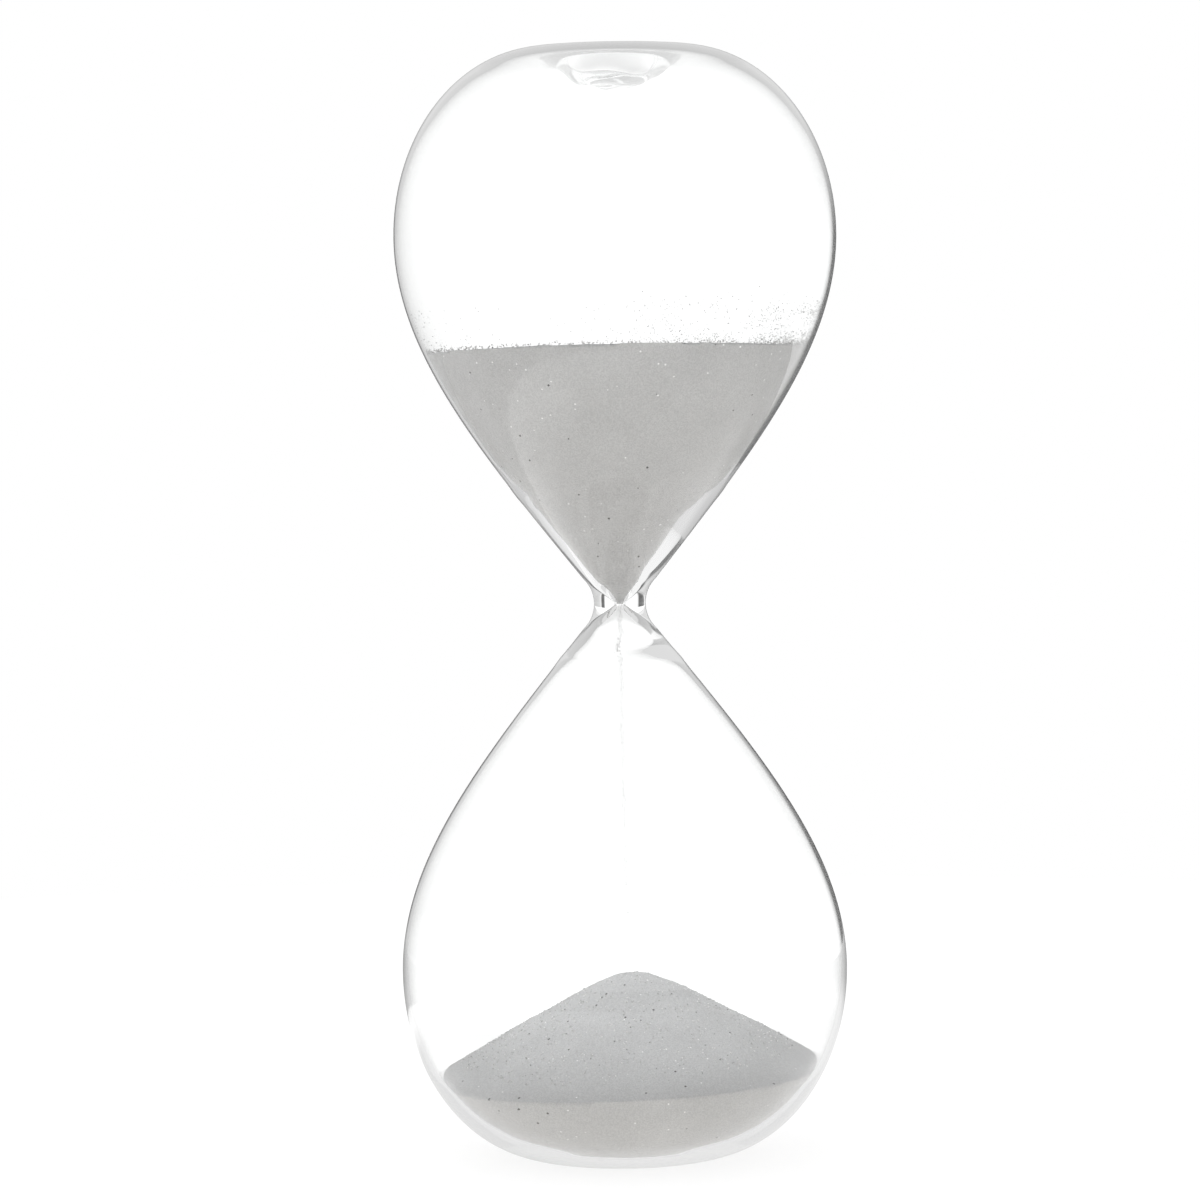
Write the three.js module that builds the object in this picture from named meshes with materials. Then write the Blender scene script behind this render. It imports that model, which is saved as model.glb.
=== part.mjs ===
// A frameless hourglass, made as a glassblower makes it: two blown bulbs fused to a thick neck
// piece, each bulb closed at its far end by a fused glass seal, with white sand part way through
// its run. Sizes are in millimetres and +Z is up. The origin is the centre of the ring that the
// lower bulb stands on.
//
// Outlines are half sections. In them x is the radius and y is the distance from the waist, so
// the same outlines serve the upper half (side = 1) and the lower half (side = -1).

import * as THREE from 'three';

const SEGMENTS = 48; // flats around the axis

// The vessel, outside
const HALF_HEIGHT = 112; // from the waist to the flat ring at either end
const UPPER_BULB_RADIUS = 44.5; // at the widest
const LOWER_BULB_RADIUS = 45;
const SHOULDER_HEIGHT = 38; // from the widest circle to the flat ring
const WAIST_RADIUS = 5.2; // thinnest part of the neck
const HOLLOW_RADIUS = 7; // of the hollow around the waist
const HOLLOW_REACH = 5; // how far the hollow runs from the waist before the flank starts
const UPPER_RING_RADIUS = 14; // outer edge of the flat ring
const LOWER_RING_RADIUS = 16;
const RING_WIDTH = 3.5;
const PUNT_DEPTH = 5; // how far the end is pushed in, inside the ring

// How full the free curves are: the place of each curve's middle control points, as shares of
// the curve's own width and height
const FLANK_START_PULL = { across: 0.56, along: 0.38 };
const FLANK_END_PULL = 0.325;
const THROAT_PULL = { across: 0.25, along: 0.4 };
const PUNT_RING_PULL = 0.4;
const PUNT_SEAL_PULL = 0.45;

// The vessel, inside
const WALL = 1.25; // bulb glass
const BORE_RADIUS = 0.75; // hole that meters the sand
const BORE_HALF_LENGTH = 0.3;
const UPPER_SEAM = 22; // distance of each fused seam from the waist
const LOWER_SEAM = 11;
const SEAL_RADIUS = 5; // filling hole, closed by the seal
const SEAL_BULGE = 0.8; // how far the seal swells on each face

// The sand
const SAND_GAP = 0.3; // between sand and glass
const UPPER_LEVEL = 50.5; // where the upper sand meets the glass, above the waist
const PIT_RADIUS = 30; // funnel that the flow draws in the upper sand
const LARGEST_PIT = 0.9; // of the sand's own radius, so that a rim is left around the pit
const LOWER_LEVEL = 17; // where the heap meets the glass, above the flat ring
const REPOSE = THREE.MathUtils.degToRad(28.3); // slope of the pit and of the heap
const CROWN_RADIUS = 3; // flattened top of the heap, where the stream lands
const STREAM_RADIUS = BORE_RADIUS - SAND_GAP;

const STEPS = { hollow: 3, flank: 9, neckFlank: 3, shoulder: 8, punt: 4, seal: 3, throat: 5 };
const STREAM_SIDES = 12;
const SAME_POINT = 0.01; // outline points nearer than this are one point

const point = (radius, distance) => new THREE.Vector2(radius, distance);

// ---- outlines ----

// Points along a curve from parameter `from` to `to`, moved `depth` to the curve's left.
function trace(curve, steps, { from = 0, to = 1, depth = 0 } = {}) {
  return Array.from({ length: steps + 1 }, (_, i) => {
    const t = from + ((to - from) * i) / steps;
    const { x, y } = curve.getTangent(t);
    return curve.getPoint(t).add(point(-y, x).multiplyScalar(depth));
  });
}

// One outline from several runs of points, without doubled points where the runs meet.
function chain(...runs) {
  return runs.flat().filter((p, i, all) => i === 0 || p.distanceTo(all[i - 1]) > SAME_POINT);
}

// The parameter at which a curve that climbs steadily reaches a distance from the waist.
function parameterAt(curve, distance) {
  let low = 0;
  let high = 1;
  while (high - low > 1e-7) {
    const middle = (low + high) / 2;
    if (curve.getPoint(middle).y < distance) low = middle;
    else high = middle;
  }
  return low;
}

// Splits a line of points where it first reaches a distance from the waist. The point there
// ends the first part and starts the second.
function splitAt(line, distance) {
  const i = line.findIndex((p) => p.y >= distance);
  const share = (distance - line[i - 1].y) / (line[i].y - line[i - 1].y);
  const here = line[i - 1].clone().lerp(line[i], share);
  return [[...line.slice(0, i), here], [here, ...line.slice(i)]];
}

// ---- the vessel's curves, from the waist outwards ----

const widest = HALF_HEIGHT - SHOULDER_HEIGHT;
const hollowCentre = WAIST_RADIUS + HOLLOW_RADIUS;
const hollowAngle = Math.asin(HOLLOW_REACH / HOLLOW_RADIUS);
const hollow = new THREE.EllipseCurve(
  hollowCentre, 0, HOLLOW_RADIUS, HOLLOW_RADIUS, Math.PI + hollowAngle, Math.PI - hollowAngle, true,
);

// The side of a bulb, from the hollow to the widest circle.
function flankTo(bulbRadius) {
  const start = point(hollowCentre - HOLLOW_RADIUS * Math.cos(hollowAngle), HOLLOW_REACH);
  const width = bulbRadius - start.x;
  const height = widest - start.y;
  return new THREE.CubicBezierCurve(
    start,
    point(start.x + FLANK_START_PULL.across * width, start.y + FLANK_START_PULL.along * height),
    point(bulbRadius, widest - FLANK_END_PULL * height),
    point(bulbRadius, widest),
  );
}

// The pushed-in end, from the flat ring to the filling hole.
function puntFrom(radius) {
  const width = radius - SEAL_RADIUS;
  return new THREE.CubicBezierCurve(
    point(radius, HALF_HEIGHT),
    point(radius - PUNT_RING_PULL * width, HALF_HEIGHT),
    point(SEAL_RADIUS + PUNT_SEAL_PULL * width, HALF_HEIGHT - PUNT_DEPTH),
    point(SEAL_RADIUS, HALF_HEIGHT - PUNT_DEPTH),
  );
}

// One half of the vessel: which way it points, where its seam is, and its curves.
function halfVessel(side, seam, bulbRadius, ringRadius) {
  return {
    side,
    seam,
    flank: flankTo(bulbRadius),
    shoulder: new THREE.EllipseCurve(
      ringRadius, widest, bulbRadius - ringRadius, SHOULDER_HEIGHT, 0, Math.PI / 2,
    ),
    punt: puntFrom(ringRadius - RING_WIDTH),
  };
}

const upper = halfVessel(1, UPPER_SEAM, UPPER_BULB_RADIUS, UPPER_RING_RADIUS);
const lower = halfVessel(-1, LOWER_SEAM, LOWER_BULB_RADIUS, LOWER_RING_RADIUS);

// The throat narrows from a seam to the bore. It starts at the bore.
function throat({ flank, seam }) {
  const start = point(BORE_RADIUS, BORE_HALF_LENGTH);
  const [end] = trace(flank, 1, { from: parameterAt(flank, seam), depth: WALL });
  const pull = point(
    THREE.MathUtils.lerp(start.x, end.x, THROAT_PULL.across),
    THREE.MathUtils.lerp(start.y, end.y, THROAT_PULL.along),
  );
  return new THREE.QuadraticBezierCurve(start, pull, end);
}

// The bulb's wall, `depth` under its outer face, from its seam to the edge of the filling hole.
function bulbLine({ flank, shoulder, punt, seam }, depth) {
  return chain(
    trace(flank, STEPS.flank, { from: parameterAt(flank, seam), depth }),
    trace(shoulder, STEPS.shoulder, { depth }),
    trace(punt, STEPS.punt, { depth }),
  );
}

// The seal's face, `depth` under its outer face, from its edge to its middle. It swells outwards
// on the outside and inwards on the inside.
function sealLine({ punt }, depth) {
  const [edge] = trace(punt, 1, { from: 1, depth });
  const middle = edge.y + (depth > 0 ? -SEAL_BULGE : SEAL_BULGE);
  const swell = new THREE.QuadraticBezierCurve(edge, point(edge.x / 2, middle), point(0, middle));
  return trace(swell, STEPS.seal);
}

// The whole inside of a half, `gap` clear of the glass, from the bore to the middle of the seal.
function insideLine(half, gap) {
  return chain(
    trace(throat(half), STEPS.throat, { depth: gap }),
    bulbLine(half, WALL + gap),
    sealLine(half, WALL + gap),
  );
}

// ---- pieces ----

// A closed outline turned about the axis. The outline runs anticlockwise in section, which is
// what turns its faces outwards.
function turned(name, { side }, outline, material) {
  const section = outline.map((p) => point(p.x, side * p.y));
  if (THREE.ShapeUtils.isClockWise(section)) section.reverse();
  const geometry = new THREE.LatheGeometry([...section, section[0]], SEGMENTS);
  geometry.rotateX(Math.PI / 2);
  const mesh = new THREE.Mesh(geometry, material);
  mesh.name = name;
  return mesh;
}

function bulb(name, half, material) {
  return turned(name, half, [...bulbLine(half, 0), ...bulbLine(half, WALL).reverse()], material);
}

function seal(name, half, material) {
  return turned(name, half, [...sealLine(half, 0), ...sealLine(half, WALL).reverse()], material);
}

// The neck piece spans both halves, so its lower points are turned down.
function neck(name, material) {
  const down = (p) => point(p.x, -p.y);
  const toSeam = ({ flank, seam }) => trace(flank, STEPS.neckFlank, { to: parameterAt(flank, seam) });
  const outline = chain(
    toSeam(lower).reverse().map(down),
    trace(hollow, 2 * STEPS.hollow),
    toSeam(upper),
    trace(throat(upper), STEPS.throat).reverse(),
    trace(throat(lower), STEPS.throat).map(down),
  );
  return turned(name, upper, outline, material);
}

// Fills the throat and the bulb above it to a level, with the pit that the flow draws.
function upperSand(name, material) {
  const [wall] = splitAt(insideLine(upper, SAND_GAP), UPPER_LEVEL);
  const pitRadius = Math.min(PIT_RADIUS, LARGEST_PIT * wall.at(-1).x);
  const outline = [
    point(0, wall[0].y),
    ...wall,
    point(pitRadius, UPPER_LEVEL),
    point(0, UPPER_LEVEL - pitRadius * Math.tan(REPOSE)),
  ];
  return turned(name, upper, outline, material);
}

// The heap, from the glass under it up to its crown.
const heapEdge = HALF_HEIGHT - LOWER_LEVEL;
const [, heapWall] = splitAt(insideLine(lower, SAND_GAP), heapEdge);
const heapRise = (heapWall[0].x - CROWN_RADIUS) * Math.tan(REPOSE);
const crown = heapEdge - heapRise;

function lowerSand(name, material) {
  const outline = [point(0, crown), point(CROWN_RADIUS, crown), ...heapWall];
  return turned(name, lower, outline, material);
}

// The thread of falling sand, from under the upper sand, through the bore, to the heap.
function stream(name, material) {
  const top = -(BORE_HALF_LENGTH - SAND_GAP);
  const bottom = -(crown - SAND_GAP);
  const length = top - bottom;
  const geometry = new THREE.CylinderGeometry(STREAM_RADIUS, STREAM_RADIUS, length, STREAM_SIDES);
  geometry.rotateX(Math.PI / 2);
  const mesh = new THREE.Mesh(geometry, material);
  mesh.name = name;
  mesh.position.z = (top + bottom) / 2;
  return mesh;
}

// ---- assembly ----

const glass = new THREE.MeshStandardMaterial({
  color: 0xf4f8f8, roughness: 0.03, metalness: 0, transparent: true, opacity: 0.35,
});
const sand = new THREE.MeshStandardMaterial({ color: 0xc4c3c1, roughness: 0.9, metalness: 0 });

const vessel = new THREE.Group();
vessel.add(
  bulb('upper_bulb', upper, glass),
  bulb('lower_bulb', lower, glass),
  neck('neck', glass),
  seal('upper_seal', upper, glass),
  seal('lower_seal', lower, glass),
);

const filling = new THREE.Group();
filling.add(
  upperSand('upper_sand', sand),
  stream('sand_stream', sand),
  lowerSand('lower_sand', sand),
);

const hourglass = new THREE.Group();
hourglass.position.z = HALF_HEIGHT; // the outlines are drawn about the waist
hourglass.add(vessel, filling);

export default hourglass;
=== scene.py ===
"""A frameless blown-glass hourglass, part way through its run, on a plain pale floor.

Lengths are in metres and the frame is the CAD model's: +Z up, with the origin under the middle
of the lower bulb. Outlines are half sections about that axis, written as (radius, distance from
the waist), so that the same curves serve both bulbs.
"""
import math
import random

import bpy
import numpy as np
from mathutils import Matrix, Vector, noise


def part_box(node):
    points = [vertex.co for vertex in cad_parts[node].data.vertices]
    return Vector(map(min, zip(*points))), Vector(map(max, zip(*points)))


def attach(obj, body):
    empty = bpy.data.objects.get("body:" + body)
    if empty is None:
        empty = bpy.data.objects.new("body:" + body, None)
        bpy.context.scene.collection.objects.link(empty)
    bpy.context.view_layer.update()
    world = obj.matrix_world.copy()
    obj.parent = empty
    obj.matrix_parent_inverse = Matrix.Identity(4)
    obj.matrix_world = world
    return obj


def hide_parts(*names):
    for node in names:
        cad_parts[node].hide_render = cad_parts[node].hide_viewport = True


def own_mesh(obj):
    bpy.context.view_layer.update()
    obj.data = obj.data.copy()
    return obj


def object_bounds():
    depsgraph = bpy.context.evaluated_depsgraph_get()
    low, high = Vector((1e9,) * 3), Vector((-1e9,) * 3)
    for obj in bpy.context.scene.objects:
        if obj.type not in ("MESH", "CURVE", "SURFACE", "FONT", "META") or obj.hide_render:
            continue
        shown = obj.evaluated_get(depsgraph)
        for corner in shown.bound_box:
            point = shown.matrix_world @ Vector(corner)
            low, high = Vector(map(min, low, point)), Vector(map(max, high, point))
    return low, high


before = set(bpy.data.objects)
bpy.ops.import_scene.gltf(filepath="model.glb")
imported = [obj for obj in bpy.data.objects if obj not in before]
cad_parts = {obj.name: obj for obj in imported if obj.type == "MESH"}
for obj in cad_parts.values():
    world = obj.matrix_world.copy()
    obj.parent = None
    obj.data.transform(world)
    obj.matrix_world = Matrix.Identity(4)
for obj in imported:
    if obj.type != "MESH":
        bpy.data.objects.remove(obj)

cad_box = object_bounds()

# ---- what the frame gives ----
BASE_Z, TOP_Z = cad_box[0].z, cad_box[1].z
HALF_HEIGHT = (TOP_Z - BASE_Z) / 2
WAIST_Z = BASE_Z + HALF_HEIGHT
UPPER_BULB_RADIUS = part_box("upper_bulb")[1].x
LOWER_BULB_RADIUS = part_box("lower_bulb")[1].x
UPPER_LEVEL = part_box("upper_sand")[1].z - WAIST_Z  # where the upper sand meets the glass
CROWN_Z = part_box("lower_sand")[1].z  # top of the heap

# ---- the vessel's section, the same curves as the CAD model's ----
SHOULDER_HEIGHT = 0.038  # from the widest circle to the flat ring
WAIST_RADIUS = 0.0052
HOLLOW_RADIUS = 0.007
HOLLOW_REACH = 0.005
UPPER_RING_RADIUS = 0.014
LOWER_RING_RADIUS = 0.016
RING_WIDTH = 0.0035
PUNT_DEPTH = 0.005  # how far each end is pushed in
SEAL_RADIUS = 0.005
SEAL_BULGE = 0.0008
BORE_RADIUS = 0.00075
BORE_HALF_LENGTH = 0.0003
UPPER_SEAM = 0.022  # distance of each fused seam from the waist
LOWER_SEAM = 0.011
FLANK_START_PULL = (0.56, 0.38)
FLANK_END_PULL = 0.325
PUNT_PULLS = (0.4, 0.45)

# ---- and the inner face, which is softer than the CAD model's ----
THROAT_PULL = (0.34, 0.44)
DISH_PULLS = (0.3, 0.45)  # of the wide dish between the shoulder and the seal
OUTER_STEPS = {"hollow": 10, "flank": 64, "shoulder": 36, "punt": 18, "seal": 10}
INNER_STEPS = {"throat": 24, "flank": 56, "shoulder": 36, "dish": 22, "seal": 8}

# ---- blown glass is not even: its wall, as (distance from the waist, thickness) ----
UPPER_WALL = ((0.022, 0.0009), (0.028, 0.0006), (0.074, 0.00055), (0.095, 0.0009), (0.108, 0.0014))
LOWER_WALL = ((0.011, 0.0011), (0.020, 0.0008), (0.070, 0.0007), (0.095, 0.0014), (0.108, 0.0021))
UPPER_SEAM_RIDGE = 0.00014  # swelling left by each fused seam
LOWER_SEAM_RIDGE = 0.00016
SEAM_RIDGE_WIDTH = 0.0014
INNER_RIDGE_SHARE = 0.6  # of the swelling's height, on the inner face
INNER_RIDGE_SWING = 0.9  # how much that height varies round the glass
INNER_RIDGE_WAVES = 90
SEAM_LUMP = 0.0011  # the thickest part of the lower seam, inside, at the front right
SEAM_LUMP_BELOW_WAIST = 0.0088
SEAM_LUMP_WIDTH = 0.0016
SEAM_LUMP_BEARING = math.radians(-42)
RIPPLE = 0.00005  # unevenness of the inner face
RIPPLE_WAVES = (28, 20)  # across and along
THROAT_SHIFT = 0.0006  # how far the upper throat was drawn off the axis, to the left
SHIFT_STARTS = (0.0015, 0.008)  # between these distances from the waist
SHIFT_ENDS = (0.013, 0.024)
RINGS_CENTRE = (-0.0016, 0.0008)  # of the rings that sealing left in the pushed-in ends
RINGS_REACH = UPPER_RING_RADIUS - RING_WIDTH
OUTER_RINGS = (0.0002, 0.0042, RINGS_REACH)  # half height, spacing and reach
INNER_RINGS = (0.00028, 0.0062, RINGS_REACH * 1.5)
TRAPPED_AFTER = 3  # mirrorings inside the wall
# painted glow: the pale grey the glass gives off in place of light trapped in its wall
PAINTED_TRAPPED_GLOW = (0.72, 0.72, 0.72, 1.0)

# ---- the sand ----
REPOSE = math.radians(28.3)
PIT_RADIUS = 0.030  # funnel that the flow draws in the upper sand
PIT_EDGE_DEPTH, PIT_EDGE_WIDTH = 0.0016, 0.004  # rounding of its edge
PIT_TIP_HEIGHT, PIT_TIP_WIDTH = 0.0012, 0.003  # and of its bottom
UPPER_RISE = 0.0004  # of the upper sand's mean level above the CAD model's
UPPER_SLOPE = (0.006, -0.038)  # it stands higher on the right and at the front
UPPER_ROUGHNESS = (0.0002, 0.00016)  # heights of its coarse and fine lumps
CROWN_RADIUS = 0.0034
CROWN_RISE = 0.0005
CROWN_SOFTNESS = 0.0006
HEAP_SLOPE = 0.515  # next to the crown
HEAP_STEEPENING = 1.0  # per metre further out
HEAP_OFFSET = Vector((0.0016, 0.0, 0.0))  # the heap has grown a little off the axis
HEAP_TILT = math.radians(1.3)  # and it stands higher on the right
HEAP_ROUGHNESS = (0.00018, 0.0001)
LUMPS_PER_METRE, SPECKS_PER_METRE = 160, 1500
SAND_CLEARANCE = 0.00006  # between the sand seen and the glass seen
BED_OVERHANG = 0.003  # how much wider than its bulb a bed of sand is, before it is trimmed
BED_STEP = 0.0007
UPPER_BED_FLOOR = WAIST_Z - 0.006
LOWER_BED_FLOOR = BASE_Z - 0.03

# ---- loose grains: how many, and their smallest and largest radius ----
STREAM_GRAINS, STREAM_SIZES = 1500, (0.00004, 0.00008)
RIM_GRAINS, RIM_SIZES = 1100, (0.0001, 0.0002)
CLINGING_GRAINS, CLINGING_SIZES = 3400, (0.00005, 0.00013)
HEAP_GRAINS, HEAP_SIZES = 2600, (0.00009, 0.0002)
WALL_CLEARANCE = 0.00005  # between a grain and the wall that it clings to

# ---- the camera ----
LENS, SENSOR_WIDTH = 139.5, 36.0  # in millimetres
CAMERA_DISTANCE = 0.938
CAMERA_ASIDE = -0.0040
CAMERA_RISE = 0.050  # above the waist
TARGET_RISE = 0.0007
CAMERA_ROLL = math.radians(0.8)

SEGMENTS = 168  # flats round the glass and the sand
FLOOR_SEGMENTS = 96
FLOOR_RADII = (0.0, 0.02, 0.05, 0.1, 0.2, 0.5)
FLOOR_GAP = 0.0001  # between the floor and the glass
random.seed(11)


# ======================================================================================
# Camera
# ======================================================================================

def make_camera():
    """A long lens a little above the middle, looking slightly down."""
    camera = bpy.data.objects.new("camera", bpy.data.cameras.new("camera"))
    bpy.context.scene.collection.objects.link(camera)
    bpy.context.scene.camera = camera
    camera.data.lens = LENS
    camera.data.sensor_width = SENSOR_WIDTH
    camera.location = Vector((CAMERA_ASIDE, -CAMERA_DISTANCE, WAIST_Z + CAMERA_RISE))
    target = Vector((CAMERA_ASIDE, 0.0, WAIST_Z + TARGET_RISE))
    look = (target - camera.location).to_track_quat("-Z", "Y")
    camera.rotation_mode = "QUATERNION"
    camera.rotation_quaternion = look @ Matrix.Rotation(-CAMERA_ROLL, 3, "Z").to_quaternion()


# ======================================================================================
# Section curves
# ======================================================================================

def bezier(*points):
    """A Bezier curve of any order through its first and last points."""
    def at(t):
        run = [np.array(p, float) for p in points]
        while len(run) > 1:
            run = [a + (b - a) * t for a, b in zip(run, run[1:])]
        return run[0]
    return at


def arc(centre, radii, start, end):
    """A stretch of an ellipse, from one angle to another."""
    def at(t):
        angle = start + (end - start) * t
        return np.array((centre[0] + radii[0] * math.cos(angle),
                         centre[1] + radii[1] * math.sin(angle)))
    return at


def trace(curve, steps, start=0.0, depth=None):
    """Points along a curve to its end, moved to its left by depth(point) where that is given."""
    points = []
    for i in range(steps + 1):
        t = start + (1.0 - start) * i / steps
        p = curve(t)
        if depth:
            d = curve(min(t + 1e-4, 1.0)) - curve(max(t - 1e-4, 0.0))
            p = p + np.array((-d[1], d[0])) / np.linalg.norm(d) * depth(p)
        points.append(p)
    return points


def chain(*runs):
    """One line from several runs of points, without doubled points where they meet."""
    line = []
    for p in (p for run in runs for p in run):
        if not line or np.linalg.norm(p - line[-1]) > 1e-5:
            line.append(p)
    return line


def parameter_at(curve, distance):
    """Where along a rising curve it is at this distance from the waist, by halving."""
    low, high = 0.0, 1.0
    for _ in range(40):
        middle = (low + high) / 2
        if curve(middle)[1] < distance:
            low = middle
        else:
            high = middle
    return low


WIDEST = HALF_HEIGHT - SHOULDER_HEIGHT
HOLLOW_CENTRE = WAIST_RADIUS + HOLLOW_RADIUS
HOLLOW_ANGLE = math.asin(HOLLOW_REACH / HOLLOW_RADIUS)
PUNT_FLOOR = HALF_HEIGHT - PUNT_DEPTH
END_DISTANCE = PUNT_FLOOR * 0.97  # a pushed-in end is all further than this from the waist
hollow = arc((HOLLOW_CENTRE, 0), (HOLLOW_RADIUS,) * 2, math.pi, math.pi - HOLLOW_ANGLE)


def flank_to(bulb_radius):
    """The side of a bulb, from the hollow to the widest circle."""
    start = (HOLLOW_CENTRE - HOLLOW_RADIUS * math.cos(HOLLOW_ANGLE), HOLLOW_REACH)
    width, height = bulb_radius - start[0], WIDEST - start[1]
    return bezier(
        start,
        (start[0] + FLANK_START_PULL[0] * width, start[1] + FLANK_START_PULL[1] * height),
        (bulb_radius, WIDEST - FLANK_END_PULL * height),
        (bulb_radius, WIDEST),
    )


def punt_from(radius):
    """The pushed-in end, from the flat ring to the filling hole."""
    width = radius - SEAL_RADIUS
    return bezier(
        (radius, HALF_HEIGHT),
        (radius - PUNT_PULLS[0] * width, HALF_HEIGHT),
        (SEAL_RADIUS + PUNT_PULLS[1] * width, PUNT_FLOOR),
        (SEAL_RADIUS, PUNT_FLOOR),
    )


def seal(edge, bulge):
    """The seal's face, from its edge to the axis."""
    return bezier(edge, (edge[0] / 2, edge[1] + bulge), (0, edge[1] + bulge))


class Half:
    """One half of the vessel: which way it points, and its outer and inner lines."""

    def __init__(self, side, seam, bulb_radius, ring_radius, wall, ridge):
        self.side, self.seam, self.ridge = side, seam, ridge
        self.distances, self.thicknesses = zip(*wall)
        self.bulb_radius = bulb_radius
        self.flank = flank_to(bulb_radius)
        self.shoulder = arc((ring_radius, WIDEST), (bulb_radius - ring_radius, SHOULDER_HEIGHT),
                            0, math.pi / 2)
        self.punt = punt_from(ring_radius - RING_WIDTH)

    def wall(self, p):
        """Glass thickness at a point of the outer face."""
        return float(np.interp(p[1], self.distances, self.thicknesses))

    def outer_line(self):
        """The outer face, from the waist to the axis, swollen at the seam."""
        steps = OUTER_STEPS
        line = chain(trace(hollow, steps["hollow"]), trace(self.flank, steps["flank"]),
                     trace(self.shoulder, steps["shoulder"]), trace(self.punt, steps["punt"]),
                     trace(seal(self.punt(1.0), SEAL_BULGE), steps["seal"]))
        for p in line:
            p[0] += self.ridge * math.exp(-(((p[1] - self.seam) / SEAM_RIDGE_WIDTH) ** 2))
        return line

    def inner_line(self, clearance=0.0):
        """The inner face, from the bore to the axis, `clearance` inside the glass."""
        def depth(p):
            return self.wall(p) + clearance
        start = parameter_at(self.flank, self.seam)
        throat_end = trace(self.flank, 1, start=start, depth=depth)[0]
        throat_start = np.array((BORE_RADIUS - clearance, BORE_HALF_LENGTH))
        pull = throat_start + (throat_end - throat_start) * np.array(THROAT_PULL)
        seal_edge = trace(self.punt, 1, start=1.0, depth=depth)[0]
        rim = trace(self.shoulder, 1, start=1.0, depth=depth)[0]
        across = rim[0] - seal_edge[0]
        dish = bezier(rim, (rim[0] - DISH_PULLS[0] * across, rim[1]),
                      (seal_edge[0] + DISH_PULLS[1] * across, seal_edge[1]), seal_edge)
        steps = INNER_STEPS
        return chain(
            [np.array((BORE_RADIUS - clearance, 0.0))],
            trace(bezier(throat_start, pull, throat_end), steps["throat"]),
            trace(self.flank, steps["flank"], start=start, depth=depth),
            trace(self.shoulder, steps["shoulder"], depth=depth),
            trace(dish, steps["dish"]),
            trace(seal(seal_edge, -SEAL_BULGE), steps["seal"]),
        )


UPPER = Half(1, UPPER_SEAM, UPPER_BULB_RADIUS, UPPER_RING_RADIUS, UPPER_WALL, UPPER_SEAM_RIDGE)
LOWER = Half(-1, LOWER_SEAM, LOWER_BULB_RADIUS, LOWER_RING_RADIUS, LOWER_WALL, LOWER_SEAM_RIDGE)

# the upper bulb's inner face from the bore to its farthest point, as radii and distances
upper_line = np.array(UPPER.inner_line())
upper_radii, upper_distances = upper_line[: int(np.argmax(upper_line[:, 1])) + 1].T


# ======================================================================================
# Mesh building
# ======================================================================================

def place(line, side):
    """Points (radius, distance from the waist) as (radius, height), above or below the waist."""
    return [np.array((p[0], WAIST_Z + side * p[1])) for p in line]


def turned(outline, segments=SEGMENTS):
    """Vertices and faces of an outline turned about the axis. Going down turns its faces out."""
    vertices, faces, rings = [], [], []
    for radius, height in outline:
        if radius < 1e-7:
            rings.append([len(vertices)] * segments)
            vertices.append((0.0, 0.0, height))
            continue
        rings.append(list(range(len(vertices), len(vertices) + segments)))
        for k in range(segments):
            angle = 2 * math.pi * k / segments
            vertices.append((radius * math.cos(angle), radius * math.sin(angle), height))
    for upper, lower in zip(rings, rings[1:]):
        for k in range(segments):
            m = (k + 1) % segments
            corners = (upper[k], lower[k], lower[m], upper[m])
            faces.append(tuple(dict.fromkeys(corners)))
    return vertices, faces


def mesh_object(name, *shells, material=None, smooth=True):
    """One object from one or more (vertices, faces) shells."""
    vertices, faces = [], []
    for shell_vertices, shell_faces in shells:
        start = len(vertices)
        vertices.extend(shell_vertices)
        faces.extend(tuple(i + start for i in face) for face in shell_faces)
    mesh = bpy.data.meshes.new(name)
    mesh.from_pydata(vertices, [], faces)
    mesh.update()
    mesh.polygons.foreach_set("use_smooth", [smooth] * len(mesh.polygons))
    piece = bpy.data.objects.new(name, mesh)
    bpy.context.scene.collection.objects.link(piece)
    if material:
        mesh.materials.append(material)
    return piece


def smoothstep(low, high, x):
    """0 up to low, 1 from high on, and a smooth rise between."""
    t = min(1.0, max(0.0, (x - low) / (high - low)))
    return t * t * (3 - 2 * t)


# ======================================================================================
# Materials
# ======================================================================================

def add_node(tree, kind, inputs=None, **settings):
    """A node with its settings, and its inputs set or linked."""
    node = tree.nodes.new(kind)
    for key, value in settings.items():
        setattr(node, key, value)
    for key, value in (inputs or {}).items():
        if isinstance(value, bpy.types.NodeSocket):
            tree.links.new(value, node.inputs[key])
        else:
            node.inputs[key].default_value = value
    return node


def math_node(tree, operation, a, b):
    """The result of a math node on two values or sockets."""
    return add_node(tree, "ShaderNodeMath", {0: a, 1: b}, operation=operation).outputs[0]


def mix_colour(tree, factor, a, b, blend="MIX"):
    """Colour a blended with colour b, by factor."""
    node = add_node(tree, "ShaderNodeMix", data_type="RGBA", blend_type=blend)
    for key, value in (("Factor", factor), ("A", a), ("B", b)):
        socket = next(s for s in node.inputs
                      if s.name == key and s.type == ("VALUE" if key == "Factor" else "RGBA"))
        if isinstance(value, bpy.types.NodeSocket):
            tree.links.new(value, socket)
        else:
            socket.default_value = value
    return next(s for s in node.outputs if s.type == "RGBA")


def ramp(tree, factor, stops):
    """A colour ramp of (position, grey or colour) stops."""
    node = add_node(tree, "ShaderNodeValToRGB", {"Fac": factor})
    elements = node.color_ramp.elements
    while len(elements) < len(stops):
        elements.new(0.5)
    for element, (position, colour) in zip(elements, stops):
        element.position = position
        colour = (colour,) * 3 if isinstance(colour, (int, float)) else colour
        element.color = (*colour, 1.0)
    return node.outputs["Color"]


def new_material(name):
    """A material, its node tree and its shader."""
    material = bpy.data.materials.new(name)
    material.use_nodes = True
    tree = material.node_tree
    shader = next(n for n in tree.nodes if n.type == "BSDF_PRINCIPLED")
    return material, tree, shader


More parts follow.
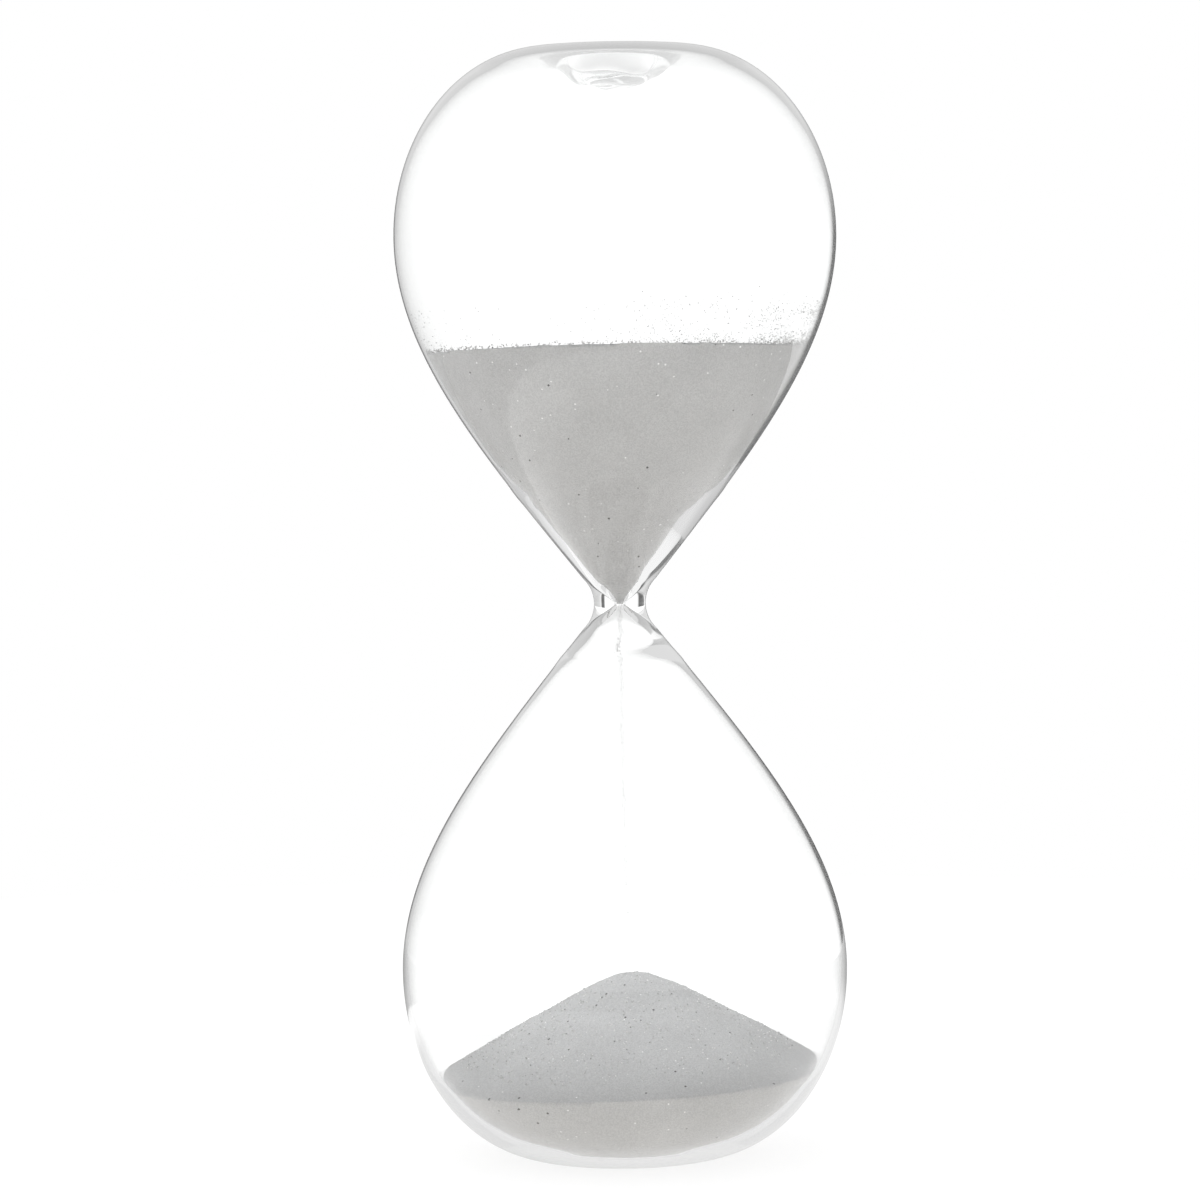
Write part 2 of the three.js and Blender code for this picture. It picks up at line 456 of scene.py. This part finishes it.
def glass_material():
    """Clear glass. Past a few mirrorings inside the wall it glows an even pale grey: a painted
    glow that stands in for the light trapped there.
    """
    material, tree, shader = new_material("clear_glass")
    shader.inputs["Base Color"].default_value = (0.997, 1.0, 0.999, 1.0)
    shader.inputs["Roughness"].default_value = 0.0
    shader.inputs["IOR"].default_value = 1.47
    shader.inputs["Transmission Weight"].default_value = 1.0
    path = add_node(tree, "ShaderNodeLightPath")
    # after that many mirrorings the glass glows instead of passing light on: a painted glow
    trapped = math_node(tree, "GREATER_THAN", path.outputs["Glossy Depth"], TRAPPED_AFTER - 0.5)
    glow = add_node(tree, "ShaderNodeEmission", {"Color": PAINTED_TRAPPED_GLOW})
    both = add_node(tree, "ShaderNodeMixShader",
                    {0: trapped, 1: shader.outputs[0], 2: glow.outputs[0]})
    output = next(n for n in tree.nodes if n.type == "OUTPUT_MATERIAL")
    tree.links.new(both.outputs[0], output.inputs["Surface"])
    return material


def sand_material():
    """Fine white quartz: pale grains, some darker or brighter, and a grainy surface."""
    material, tree, shader = new_material("white_sand")
    place_in = add_node(tree, "ShaderNodeTexCoord").outputs["Object"]

    def cells(size):
        return add_node(tree, "ShaderNodeTexVoronoi", {"Vector": place_in, "Scale": 1.0 / size})

    def rare(size, share, reach):
        """1 in the middle of a random few cells, and 0 elsewhere."""
        cell = cells(size)
        pick = add_node(tree, "ShaderNodeSeparateColor", {"Color": cell.outputs["Color"]})
        chosen = math_node(tree, "GREATER_THAN", pick.outputs["Red"], 1.0 - share)
        middle = math_node(tree, "LESS_THAN", cell.outputs["Distance"], reach)
        return math_node(tree, "MULTIPLY", chosen, middle)

    grain = cells(size=0.00022)
    tone = add_node(tree, "ShaderNodeSeparateColor", {"Color": grain.outputs["Color"]})
    colour = ramp(tree, tone.outputs["Green"],
                  ((0.0, (0.575, 0.58, 0.586)), (0.5, (0.64, 0.645, 0.652)),
                   (1.0, (0.705, 0.71, 0.716))))
    drift = add_node(tree, "ShaderNodeTexNoise",
                     {"Vector": place_in, "Scale": 85.0, "Detail": 3.0, "Roughness": 0.55})
    shade = ramp(tree, drift.outputs["Fac"], ((0.3, 0.95), (0.7, 1.03)))
    colour = mix_colour(tree, 1.0, colour, shade, "MULTIPLY")
    speck = rare(size=0.0019, share=0.14, reach=0.125)
    colour = mix_colour(tree, speck, colour, (0.05, 0.05, 0.05, 1.0))
    sparkle = rare(size=0.0016, share=0.22, reach=0.12)
    colour = mix_colour(tree, sparkle, colour, (1.0, 1.0, 1.0, 1.0))
    tree.links.new(colour, shader.inputs["Base Color"])
    tree.links.new(sparkle, shader.inputs["Metallic"])
    gloss = ramp(tree, sparkle, ((0.0, 0.85), (1.0, 0.3)))
    tree.links.new(gloss, shader.inputs["Roughness"])
    bump = add_node(tree, "ShaderNodeBump",
                    {"Height": grain.outputs["Distance"], "Strength": 0.35, "Distance": 0.00012})
    tree.links.new(bump.outputs["Normal"], shader.inputs["Normal"])
    return material


def loose_grain_material():
    """Single grains: each its own tone, from smoky to white."""
    material, tree, shader = new_material("loose_grains")
    each = add_node(tree, "ShaderNodeNewGeometry").outputs["Random Per Island"]
    colour = ramp(tree, each, ((0.0, (0.25, 0.25, 0.25)), (0.1, (0.55, 0.55, 0.55)),
                               (0.7, (0.70, 0.70, 0.70)), (0.85, (0.97, 0.97, 0.97))))
    tree.links.new(colour, shader.inputs["Base Color"])
    glinting = math_node(tree, "GREATER_THAN", each, 0.86)  # the brightest seventh of them
    tree.links.new(glinting, shader.inputs["Metallic"])
    shader.inputs["Roughness"].default_value = 0.4
    return material


# ======================================================================================
# The vessel
# ======================================================================================

def smooth_noise(p, across, along):
    """Slow waves round the glass, from -1 to 1."""
    return noise.noise(Vector((p.x * across, p.y * across, p.z * along)))


def bend_inner_face(vertices):
    """Makes an inner face uneven: ripples, lumpy seams and a drawn throat."""
    for vertex in vertices:
        co = vertex.co
        distance = co.z - WAIST_Z
        radius = math.hypot(co.x, co.y)
        if radius < 2 * BORE_RADIUS or abs(distance) > END_DISTANCE:
            continue
        half = UPPER if distance > 0 else LOWER
        lift = RIPPLE * smooth_noise(co, *RIPPLE_WAVES)
        seam = math.exp(-(((abs(distance) - half.seam) / SEAM_RIDGE_WIDTH) ** 2))
        swing = 1 + INNER_RIDGE_SWING * smooth_noise(co, INNER_RIDGE_WAVES, 0)
        lift -= INNER_RIDGE_SHARE * half.ridge * seam * swing
        if distance < 0:
            facing = math.cos(math.atan2(co.y, co.x) - SEAM_LUMP_BEARING)
            band = math.exp(-(((distance + SEAM_LUMP_BELOW_WAIST) / SEAM_LUMP_WIDTH) ** 2))
            lift -= SEAM_LUMP * band * smoothstep(0.2, 1.0, facing)
        co.x += lift * co.x / radius
        co.y += lift * co.y / radius
        if distance > 0:
            drawn = smoothstep(*SHIFT_STARTS, distance) * (1 - smoothstep(*SHIFT_ENDS, distance))
            co.x -= THROAT_SHIFT * drawn


def press_rings(vertices, height, spacing, limit):
    """Presses the lopsided rings that sealing leaves into the pushed-in ends."""
    for vertex in vertices:
        x, y, z = vertex.co
        if abs(z - WAIST_Z) <= END_DISTANCE:
            continue
        dx, dy = x - RINGS_CENTRE[0], y - RINGS_CENTRE[1]
        angle = math.atan2(dy, dx)
        uneven = 1 + 0.07 * math.sin(2 * angle + 0.6) + 0.04 * math.sin(5 * angle)
        waves = 1 + math.cos(math.hypot(dx, dy) * uneven * 2 * math.pi / spacing)
        fade = 1 - smoothstep(0.6 * limit, limit, math.hypot(x, y))
        vertex.co.z -= math.copysign(height * waves * fade, z - WAIST_Z)


def make_vessel(material):
    """The fused vessel: one outer face and one inner face."""
    outer = chain(place(UPPER.outer_line(), 1)[::-1], place(LOWER.outer_line(), -1))
    inner = chain(place(UPPER.inner_line(), 1)[::-1], place(LOWER.inner_line(), -1))
    outside, inside = turned(outer), turned(inner[::-1])
    vessel = mesh_object("glass_vessel", outside, inside, material=material)
    vertices = list(vessel.data.vertices)
    outer_count = len(outside[0])
    bend_inner_face(vertices[outer_count:])
    press_rings(vertices[:outer_count], *OUTER_RINGS)
    press_rings(vertices[outer_count:], *INNER_RINGS)
    vessel.data.update()
    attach(vessel, "glass")
    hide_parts("upper_bulb", "lower_bulb", "neck", "upper_seal", "lower_seal")


def make_cavity(name, half):
    """A hidden solid that fills one bulb's inside. It trims the sand to the glass."""
    line = place(half.inner_line(SAND_CLEARANCE), half.side)
    outline = chain([np.array((0.0, line[0][1]))], line)
    if half.side > 0:
        outline = outline[::-1]
    cavity = mesh_object(name, turned(outline))
    bend_inner_face(cavity.data.vertices)
    press_rings(cavity.data.vertices, *INNER_RINGS)
    cavity.data.update()
    cavity.hide_render = True
    cavity.hide_viewport = True
    return cavity


# ======================================================================================
# The sand
# ======================================================================================

def grainy(x, y, coarse, fine):
    """Small lumps on a sand surface, in metres."""
    lumps = noise.noise(Vector((x * LUMPS_PER_METRE, y * LUMPS_PER_METRE, 3.1)))
    specks = noise.noise(Vector((x * SPECKS_PER_METRE, y * SPECKS_PER_METRE, 8.7)))
    return coarse * lumps + fine * specks


def bed(name, bulb_radius, floor_z, surface):
    """A block of sand wider than the bulb, with its top given by surface(x, y)."""
    reach = bulb_radius + BED_OVERHANG
    count = int(reach / BED_STEP)
    outline = [np.array((reach * i / count, 0.0)) for i in range(count + 1)]
    vertices, faces = turned(outline + [np.array((reach, -1.0))])  # the last ring is the skirt's
    top_count = len(vertices) - SEGMENTS
    shaped = [(x, y, surface(x, y)) for x, y, _ in vertices[:top_count]]
    skirt = [(x, y, floor_z) for x, y, _ in vertices[top_count:]]
    base = len(vertices)
    bottom = [(base, top_count + (k + 1) % SEGMENTS, top_count + k) for k in range(SEGMENTS)]
    return mesh_object(name, (shaped + skirt + [(0.0, 0.0, floor_z)], faces + bottom))


def trim_to(sand, cavity, solver="EXACT"):
    """Leaves of the sand what is inside the glass."""
    cut = sand.modifiers.new("inside_the_glass", "BOOLEAN")
    cut.operation = "INTERSECT"
    cut.solver = solver
    cut.object = cavity


def upper_lift(x, y):
    """How far the upper sand's surface is above its mean level."""
    return UPPER_RISE + UPPER_SLOPE[0] * x + UPPER_SLOPE[1] * y


def upper_surface(x, y):
    """Height of the upper sand: nearly level, with a rounded pit in the middle."""
    radius = math.hypot(x, y)
    fall = max(0.0, PIT_RADIUS - radius) * math.tan(REPOSE)
    edge = PIT_EDGE_DEPTH * math.exp(-((radius - PIT_RADIUS) / PIT_EDGE_WIDTH) ** 2)
    tip = PIT_TIP_HEIGHT * math.exp(-(radius / PIT_TIP_WIDTH) ** 2)
    level = WAIST_Z + UPPER_LEVEL
    return level + upper_lift(x, y) - fall - edge + tip + grainy(x, y, *UPPER_ROUGHNESS)


def make_upper_sand(material, cavity):
    """The sand still to run, which rides down with its level."""
    sand = bed("upper_sand_mass", UPPER.bulb_radius, UPPER_BED_FLOOR, upper_surface)
    sand.data.materials.append(material)
    trim_to(sand, cavity)
    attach(sand, "upper_charge")
    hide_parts("upper_sand")


def heap_surface(x, y):
    """Height of the heap: a cone with a small flattened crown."""
    radius = math.hypot(x - HEAP_OFFSET.x, y - HEAP_OFFSET.y)
    beyond = radius - CROWN_RADIUS
    beyond = 0.5 * (beyond + math.sqrt(beyond * beyond + CROWN_SOFTNESS * CROWN_SOFTNESS))
    fall = beyond * (HEAP_SLOPE + HEAP_STEEPENING * beyond)
    top = CROWN_Z + CROWN_RISE + x * math.tan(HEAP_TILT)
    return top - fall + grainy(x, y, *HEAP_ROUGHNESS)


def make_heap(material, cavity):
    """The sand that has run, which rises with its body."""
    sand = bed("lower_sand_heap", LOWER.bulb_radius, LOWER_BED_FLOOR, heap_surface)
    sand.data.materials.append(material)
    trim_to(sand, cavity)
    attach(sand, "lower_charge")
    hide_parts("lower_sand")


# a loose grain is an icosahedron, whose corners come from the golden ratio
GOLD = (1 + math.sqrt(5)) / 2
GRAIN_CORNERS = np.array([(-1, GOLD, 0), (1, GOLD, 0), (-1, -GOLD, 0), (1, -GOLD, 0),
                          (0, -1, GOLD), (0, 1, GOLD), (0, -1, -GOLD), (0, 1, -GOLD),
                          (GOLD, 0, -1), (GOLD, 0, 1), (-GOLD, 0, -1), (-GOLD, 0, 1)])
GRAIN_CORNERS = GRAIN_CORNERS / math.hypot(1, GOLD)
GRAIN_FACES = [(0, 11, 5), (0, 5, 1), (0, 1, 7), (0, 7, 10), (0, 10, 11), (1, 5, 9), (5, 11, 4),
               (11, 10, 2), (10, 7, 6), (7, 1, 8), (3, 9, 4), (3, 4, 2), (3, 2, 6), (3, 6, 8),
               (3, 8, 9), (4, 9, 5), (2, 4, 11), (6, 2, 10), (8, 6, 7), (9, 8, 1)]


def grains(name, spots, material, body):
    """One piece of many loose grains, from (position, radius) spots."""
    shells = []
    for position, radius in spots:
        turn = Matrix.Rotation(random.uniform(0, 2 * math.pi), 3,
                               Vector([random.gauss(0, 1) for _ in range(3)]))
        stretch = np.array([random.uniform(0.75, 1.2) for _ in range(3)])
        corners = (GRAIN_CORNERS * stretch * radius) @ np.array(turn) + np.array(position)
        shells.append(([tuple(c) for c in corners], GRAIN_FACES))
    piece = mesh_object(name, *shells, material=material, smooth=False)
    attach(piece, body)
    return piece


def make_stream(material):
    """The falling thread: grains that spread a little and thin out as they speed up."""
    top, bottom = WAIST_Z + 0.0004, CROWN_Z - 0.0003
    spots = []
    for _ in range(STREAM_GRAINS):
        fallen = random.random() ** 1.35  # share of the way down, with more grains near the top
        spread = 0.00028 + 0.00022 * fallen
        x, y = (random.gauss(0, spread) for _ in range(2))
        room = 0.0006 if fallen < 0.01 else 0.001  # the bore is narrower than the thread below
        if math.hypot(x, y) < room:
            height = top + (bottom - top) * fallen
            drift = HEAP_OFFSET.x * 0.25 * fallen
            spots.append(((x + drift, y, height), random.uniform(*STREAM_SIZES)))
    stream = grains("falling_sand", spots, material, "glass")
    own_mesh(stream)
    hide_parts("sand_stream")


def on_upper_wall(angle, above, size):
    """A place on the upper bulb's inner face, at a height above the sand's edge."""
    edge = float(np.interp(UPPER_LEVEL, upper_distances, upper_radii))
    distance = UPPER_LEVEL + upper_lift(edge * math.cos(angle), edge * math.sin(angle)) + above
    radius = float(np.interp(distance, upper_distances, upper_radii)) - size - WALL_CLEARANCE
    return radius * math.cos(angle), radius * math.sin(angle), WAIST_Z + distance


def make_rim_grains(material, cavity):
    """Grains along the edge of the upper sand, which sink with it and stay inside the glass."""
    spots = []
    for _ in range(RIM_GRAINS):
        size = random.uniform(*RIM_SIZES)
        angle = random.uniform(0, 2 * math.pi)
        above = random.gauss(0.0001, 0.00028)
        room = size + 0.0001  # they lie a little away from the wall
        spots.append((on_upper_wall(angle, above, room), size))
    rim = grains("rim_grains", spots, material, "upper_charge")
    trim_to(rim, cavity, "FAST")


def make_clinging_grains(material):
    """A sparse film on the upper bulb's wall, left by the falling level, mostly on the right."""
    spots = []
    while len(spots) < CLINGING_GRAINS:
        angle = random.uniform(0, 2 * math.pi)
        patch = 0.5 + 0.9 * noise.noise(Vector((3 * math.cos(angle), 3 * math.sin(angle), 5.0)))
        share = 0.08 + 0.92 * smoothstep(-0.3, 0.7, math.cos(angle))  # most of them on the right
        if random.random() > share * patch:
            continue
        size = random.uniform(*CLINGING_SIZES)
        above = min(random.expovariate(1 / 0.0012), 0.011)  # thinning out upwards
        if random.random() < 0.22:
            above = random.gauss(0.0072, 0.0012)  # a fainter band further up
        spots.append((on_upper_wall(angle, above, size), size))
    grains("clinging_grains", spots, material, "glass")


def make_heap_grains(material):
    """Coarser grains strewn over the heap, which catch the light."""
    spots = []
    limit = LOWER.bulb_radius * 0.76  # short of the glass
    above = 0.00003  # from the heap's surface to the middle of a grain
    while len(spots) < HEAP_GRAINS:
        x, y = (random.uniform(-limit, limit) for _ in range(2))
        if math.hypot(x, y) < limit:
            spots.append(((x, y, heap_surface(x, y) + above), random.uniform(*HEAP_SIZES)))
    grains("heap_grains", spots, material, "lower_charge")


# ======================================================================================
# Floor and light
# ======================================================================================

def ray_kinds(tree):
    """Masks for the ways that light reaches the eye, each 0 or 1."""
    path = add_node(tree, "ShaderNodeLightPath")

    def past(output, limit):
        return math_node(tree, "GREATER_THAN", path.outputs[output], limit)

    mirrored = past("Glossy Depth", 0.5)
    entered = past("Transmission Depth", 0.5)
    not_entered = math_node(tree, "SUBTRACT", 1.0, entered)
    one_wall = math_node(tree, "SUBTRACT", 1.0, past("Transmission Depth", 2.5))  # two faces
    mirrored_inside = math_node(tree, "MULTIPLY", mirrored, entered)
    return {
        "through": entered,
        "through_solid": math_node(tree, "MULTIPLY", entered, one_wall),
        "outside": math_node(tree, "MULTIPLY", mirrored, not_entered),
        "in_wall": math_node(tree, "MULTIPLY", mirrored_inside, one_wall),
        "scattered": past("Diffuse Depth", 0.5),
    }


def layered(tree, kinds, tones):
    """White, replaced by the tone of each kind of ray in turn."""
    light = (1.0, 1.0, 1.0, 1.0)
    for kind, tone in tones:
        light = mix_colour(tree, kinds[kind], light, tone)
    return light


def round_the_compass(tree, turn, stops):
    """A ramp over the compass, from (degrees, tone) stops. 0 degrees is towards the camera."""
    return ramp(tree, turn, [(degrees / 360 + 0.5, tone) for degrees, tone in stops])


def make_world():
    """A white studio. What the glass mirrors or bends has dark gaps between the soft lights."""
    world = bpy.data.worlds.new("studio")
    bpy.context.scene.world = world
    world.use_nodes = True
    tree = world.node_tree
    background = next(n for n in tree.nodes if n.type == "BACKGROUND")
    kinds = ray_kinds(tree)
    direction = add_node(tree, "ShaderNodeTexCoord").outputs["Generated"]
    axes = add_node(tree, "ShaderNodeSeparateXYZ", {0: direction})
    towards = math_node(tree, "MULTIPLY", axes.outputs["Y"], -1.0)
    angle = math_node(tree, "ARCTAN2", axes.outputs["X"], towards)
    turn = math_node(tree, "ADD", math_node(tree, "DIVIDE", angle, 2 * math.pi), 0.5)
    height = math_node(tree, "ADD", math_node(tree, "MULTIPLY", axes.outputs["Z"], 0.5), 0.5)

    through = ramp(tree, height, ((0.0, 1.15), (0.6, 1.15), (0.72, 0.85), (0.9, 0.8), (1.0, 1.0)))
    through_solid = round_the_compass(tree, turn, (
        (-180, 1.1), (-150, 1.1), (-145, 0.1), (-122, 0.1), (-117, 1.0), (0, 1.0), (100, 0.9),
        (112, 0.62), (140, 0.7), (146, 0.95), (148, 0.12), (154, 0.12), (156, 1.1), (180, 1.1)))
    outside = round_the_compass(tree, turn, (
        (-180, 0.0), (-169, 0.03), (-163, 0.4), (-84, 0.3), (-79, 1.3), (20, 1.1),
        (90, 0.75), (125, 1.0), (148, 0.95), (158, 0.03), (180, 0.0)))
    upwards = ramp(tree, height, ((0.0, 0.0), (0.515, 0.0), (0.60, 0.9), (1.0, 0.9)))
    outside = mix_colour(tree, upwards, outside, (0.8, 0.8, 0.8, 1.0))
    overhead = ramp(tree, height, ((0.0, 1.0), (0.52, 1.0), (0.6, 0.60), (1.0, 0.46)))
    in_wall = round_the_compass(tree, turn, (
        (-180, 0.12), (-172, 0.25), (-166, 0.9), (-150, 0.75), (-84, 0.75), (-79, 1.4), (20, 1.2),
        (60, 0.85), (125, 1.1), (152, 0.9), (160, 0.1), (180, 0.1)))
    in_wall = mix_colour(tree, upwards, in_wall, (1.0, 1.0, 1.0, 1.0))
    in_wall = mix_colour(tree, 1.0, in_wall, overhead, "MULTIPLY")
    from_above = ramp(tree, height, ((0.0, 1.0), (0.5, 1.10), (1.0, 1.22)))
    from_side = round_the_compass(tree, turn, (
        (-180, 1.0), (-90, 1.27), (-30, 1.12), (30, 0.97), (90, 0.96), (180, 1.0)))
    scattered = mix_colour(tree, 1.0, from_above, from_side, "MULTIPLY")
    light = layered(tree, kinds, (
        ("through", through), ("through_solid", through_solid), ("outside", outside),
        ("in_wall", in_wall), ("scattered", scattered)))
    tree.links.new(light, background.inputs["Color"])


def make_floor():
    """A white floor that takes only a faint shadow. It glows, and what the glass shows of it is
    painted light: a darker ring through the glass, painted reflections on the glass's outer face,
    and a warm painted bounce light on the sand.
    """
    material, tree, shader = new_material("pale_floor")
    tree.nodes.remove(shader)
    kinds = ray_kinds(tree)
    position = add_node(tree, "ShaderNodeTexCoord").outputs["Object"]
    reach = add_node(tree, "ShaderNodeVectorMath", {0: position}, operation="LENGTH")
    # painted shade: a darker ring in the floor's glow, only where the floor is seen through the
    # glass
    band = ramp(tree, reach.outputs["Value"], ((0.0, 1.2), (0.08, 1.2), (0.11, 1.0),
                                               (0.136, 0.94), (0.139, 1.2)))
    sides = add_node(tree, "ShaderNodeSeparateXYZ", {0: position})
    # painted reflections: where the glass's outer face mirrors the floor, a bright patch on the
    # left and darkness far off and behind
    leftwards = add_node(tree, "ShaderNodeMapRange", {"Value": sides.outputs["X"],
                                                      "From Min": 0.05, "From Max": -0.02})
    far_left = ramp(tree, reach.outputs["Value"], ((0.0, 0.75), (0.1, 0.75), (0.14, 1.4),
                                                   (0.18, 1.4), (0.19, 0.3), (1.0, 0.3)))
    far = ramp(tree, reach.outputs["Value"], ((0.0, 0.9), (0.2, 0.9), (0.3, 0.05), (1.0, 0.02)))
    mirrored = mix_colour(tree, leftwards.outputs["Result"], far, far_left)
    backwards = ramp(tree, sides.outputs["Y"], ((0.0, 0.0), (0.12, 0.0), (0.25, 1.0), (1.0, 1.0)))
    mirrored = mix_colour(tree, backwards, mirrored, (0.02, 0.02, 0.02, 1))
    shadowed = add_node(tree, "ShaderNodeBsdfDiffuse", {"Color": (0.16, 0.16, 0.16, 1)})
    # painted light by kind of ray: a grey for light mirrored inside the wall, and a warm painted
    # bounce light for what scatters off the floor
    tone = layered(tree, kinds, (("through", band), ("outside", mirrored),
                                 ("in_wall", (0.85, 0.85, 0.85, 1)),
                                 ("scattered", (1.28, 1.22, 1.14, 1))))
    # the floor glows a little less than its tone, and what its surface scatters makes up the rest
    dimmed = mix_colour(tree, 1.0, tone, (0.87, 0.87, 0.87, 1), "MULTIPLY")
    glow = add_node(tree, "ShaderNodeEmission", {"Color": dimmed})
    both = add_node(tree, "ShaderNodeAddShader", {0: shadowed.outputs[0], 1: glow.outputs[0]})
    output = next(n for n in tree.nodes if n.type == "OUTPUT_MATERIAL")
    tree.links.new(both.outputs[0], output.inputs["Surface"])
    outline = [np.array((radius, BASE_Z - FLOOR_GAP)) for radius in FLOOR_RADII]
    floor = mesh_object("floor", turned(outline, FLOOR_SEGMENTS), material=material)


def set_colours():
    """Keeps white as white in the picture."""
    view = bpy.context.scene.view_settings
    view.view_transform = "Standard"
    view.look = "None"


# ======================================================================================
# Assembly
# ======================================================================================

make_camera()
glass = glass_material()
sand = sand_material()
loose = loose_grain_material()
make_vessel(glass)
upper_cavity = make_cavity("upper_cavity", UPPER)
make_upper_sand(sand, upper_cavity)
make_rim_grains(loose, upper_cavity)
make_heap(sand, make_cavity("lower_cavity", LOWER))
make_stream(loose)
make_clinging_grains(loose)
make_heap_grains(loose)
make_world()
make_floor()
set_colours()
